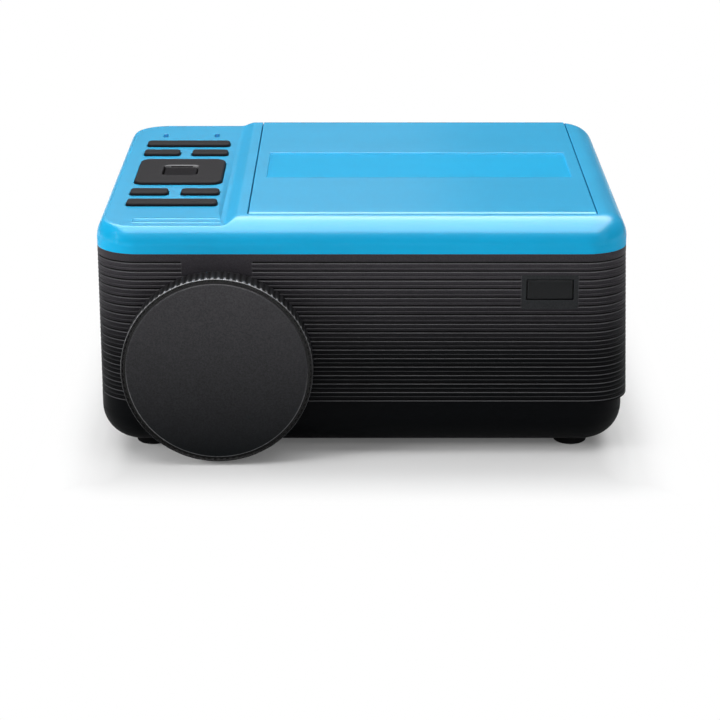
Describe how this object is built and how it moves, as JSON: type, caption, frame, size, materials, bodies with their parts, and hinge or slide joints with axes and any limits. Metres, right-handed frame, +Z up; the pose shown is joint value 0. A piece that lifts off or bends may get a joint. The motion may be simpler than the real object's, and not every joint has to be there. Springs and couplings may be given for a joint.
{
  "type": "disc-playing home projector",
  "caption": "Compact home projector with a top-loading disc player: ribbed casing, coloured cover with hinged disc lid and key panel, focus ring and lens cap.",
  "frame": {"origin": "middle of the object's footprint, on the surface it stands on", "axes": "+Z up, -Y the way the lens looks, +X to the right seen from the lens side"},
  "size_m": [0.232, 0.2116, 0.1064],
  "materials": {
    "black_shell": "moulded, very fine grain, ribbed",
    "blue_cover": "moulded sky blue, satin, very fine grain",
    "key_plastic": "dark brown-black, satin",
    "ring_plastic": "fluted, satin",
    "cap_plastic": "fine grained, matte",
    "inner_plastic": "plain black",
    "jack_plastic": "gloss black",
    "port_plastic": "satin black",
    "switch_plastic": "plain",
    "steel": "turned",
    "sheet_steel": "zinc plated sheet",
    "socket_metal": "plated sheet",
    "brass": "turned",
    "sink_aluminium": "extruded",
    "lens_glass": "coated",
    "display_glass": "dark",
    "clear_plastic": "clear moulded",
    "smoked_window": "smoked, satin",
    "indicator_blue": "dark blue, translucent",
    "circuit_board": "green board",
    "lamp_board": "white coated",
    "speaker_paper": "black cone and frame",
    "foot_rubber": "plain",
    "damper_rubber": "plain"
  },
  "bodies": {
    "casing": {"audio_jacks": "jack_plastic", "bottom_housing": "black_shell", "card_slot": "socket_metal", "condenser_holder": "inner_plastic", "condenser_lens": "lens_glass", "control_board": "circuit_board", "disc_deck": "inner_plastic", "fan_frame": "inner_plastic", "fresnel_lenses": "clear_plastic", "guide_rods": "steel", "hdmi_sockets": "socket_metal", "heat_sink": "sink_aluminium", "housing_screws": "steel", "indicator_lights": "indicator_blue", "ir_receiver": "circuit_board", "ir_window": "smoked_window", "lamp_board": "lamp_board", "lcd_panel": "display_glass", "lid_hinge_pins": "steel", "main_board": "circuit_board", "mains_inlet": "jack_plastic", "optical_box": "inner_plastic", "power_board": "circuit_board", "rear_port_panel": "port_plastic", "rubber_feet": "foot_rubber", "side_grille": "black_shell", "sled_motor": "sheet_steel", "speaker": "speaker_paper", "spindle_motor": "sheet_steel", "tact_switches": "switch_plastic", "top_cover": "blue_cover", "traverse_chassis": "sheet_steel", "traverse_dampers": "damper_rubber", "tripod_insert": "brass", "usb_socket": "socket_metal"},
    "disc_lid": {"disc_lid": "blue_cover"},
    "latch_plunger": {"lid_latch_plunger": "inner_plastic"},
    "focus_ring": {"focus_ring": "ring_plastic", "ring_retainer": "inner_plastic"},
    "lens_barrel": {"lens_barrel": "inner_plastic", "front_lens": "lens_glass", "rear_lens": "lens_glass", "lens_retainer": "inner_plastic"},
    "lens_cap": {"lens_cap": "cap_plastic"},
    "front_bar_key": {"front_bar_key": "key_plastic"},
    "rear_bar_key": {"rear_bar_key": "key_plastic"},
    "front_left_key": {"front_left_key": "key_plastic"},
    "front_right_key": {"front_right_key": "key_plastic"},
    "rear_left_key": {"rear_left_key": "key_plastic"},
    "rear_right_key": {"rear_right_key": "key_plastic"},
    "pad_pivot": {"pad_pivot": "inner_plastic"},
    "navigation_pad": {"navigation_pad": "key_plastic"},
    "ok_key": {"ok_key": "key_plastic"},
    "turntable": {"turntable": "inner_plastic"},
    "pickup_sled": {"pickup_sled": "inner_plastic"},
    "lead_screw": {"lead_screw": "steel"},
    "fan_rotor": {"fan_rotor": "inner_plastic"}
  },
  "joints": [
    {"name": "lid_hinge", "type": "hinge", "parent": "casing", "child": "disc_lid", "pos_m": [0.02515, -0.07685, 0.1034], "axis": [1, 0, 0], "range_deg": [0, 85]},
    {"name": "latch_push", "type": "slide", "parent": "casing", "child": "latch_plunger", "axis": [0, 0, -1], "range_m": [0, 0.002], "stiffness_N_per_m": 400},
    {"name": "focus_turn", "type": "hinge", "parent": "casing", "child": "focus_ring", "pos_m": [-0.06325, -0.09225, 0.0432], "axis": [0, -1, 0], "range_deg": [-60, 60]},
    {"name": "barrel_slide", "type": "slide", "parent": "casing", "child": "lens_barrel", "axis": [0, -1, 0], "range_m": [-0.004, 0.004]},
    {"name": "cap_pull", "type": "slide", "parent": "focus_ring", "child": "lens_cap", "axis": [0, -1, 0], "range_m": [0, 0.03]},
    {"name": "front_bar_rock", "type": "hinge", "parent": "casing", "child": "front_bar_key", "pos_m": [-0.08515, -0.05105, 0.0994], "axis": [0, 1, 0], "range_deg": [-1.5, 1.5], "stiffness_Nm_per_rad": 0.05},
    {"name": "rear_bar_rock", "type": "hinge", "parent": "casing", "child": "rear_bar_key", "pos_m": [-0.08515, 0.06095, 0.0994], "axis": [0, 1, 0], "range_deg": [-1.5, 1.5], "stiffness_Nm_per_rad": 0.05},
    {"name": "front_left_key_press", "type": "slide", "parent": "casing", "child": "front_left_key", "axis": [0, 0, -1], "range_m": [0, 0.0006], "stiffness_N_per_m": 400},
    {"name": "front_right_key_press", "type": "slide", "parent": "casing", "child": "front_right_key", "axis": [0, 0, -1], "range_m": [0, 0.0006], "stiffness_N_per_m": 400},
    {"name": "rear_left_key_press", "type": "slide", "parent": "casing", "child": "rear_left_key", "axis": [0, 0, -1], "range_m": [0, 0.0006], "stiffness_N_per_m": 400},
    {"name": "rear_right_key_press", "type": "slide", "parent": "casing", "child": "rear_right_key", "axis": [0, 0, -1], "range_m": [0, 0.0006], "stiffness_N_per_m": 400},
    {"name": "ok_key_press", "type": "slide", "parent": "casing", "child": "ok_key", "axis": [0, 0, -1], "range_m": [0, 0.0006], "stiffness_N_per_m": 400},
    {"name": "pad_tilt_sideways", "type": "hinge", "parent": "casing", "child": "pad_pivot", "pos_m": [-0.08515, 0.00495, 0.0994], "axis": [0, 1, 0], "range_deg": [-1, 1], "stiffness_Nm_per_rad": 0.05},
    {"name": "pad_tilt_fore_aft", "type": "hinge", "parent": "pad_pivot", "child": "navigation_pad", "pos_m": [-0.08515, 0.00495, 0.0994], "axis": [1, 0, 0], "range_deg": [-1, 1], "stiffness_Nm_per_rad": 0.05},
    {"name": "disc_spin", "type": "hinge", "parent": "casing", "child": "turntable", "pos_m": [0.02515, 0.00775, 0.1], "axis": [0, 0, 1], "continuous": true},
    {"name": "sled_travel", "type": "slide", "parent": "casing", "child": "pickup_sled", "axis": [0, -1, 0], "range_m": [0, 0.034]},
    {"name": "screw_turn", "type": "hinge", "parent": "casing", "child": "lead_screw", "pos_m": [-0.00985, 0.00775, 0.0858], "axis": [0, 1, 0], "range_deg": [0, 3060.5]},
    {"name": "fan_spin", "type": "hinge", "parent": "casing", "child": "fan_rotor", "pos_m": [-0.06325, 0.08605, 0.0432], "axis": [0, 1, 0], "continuous": true}
  ],
  "couplings": [
    {"joint": "barrel_slide", "follows": "focus_turn", "m_per_rad": 0.0038197},
    {"joint": "screw_turn", "follows": "sled_travel", "rad_per_m": 1570.8}
  ]
}
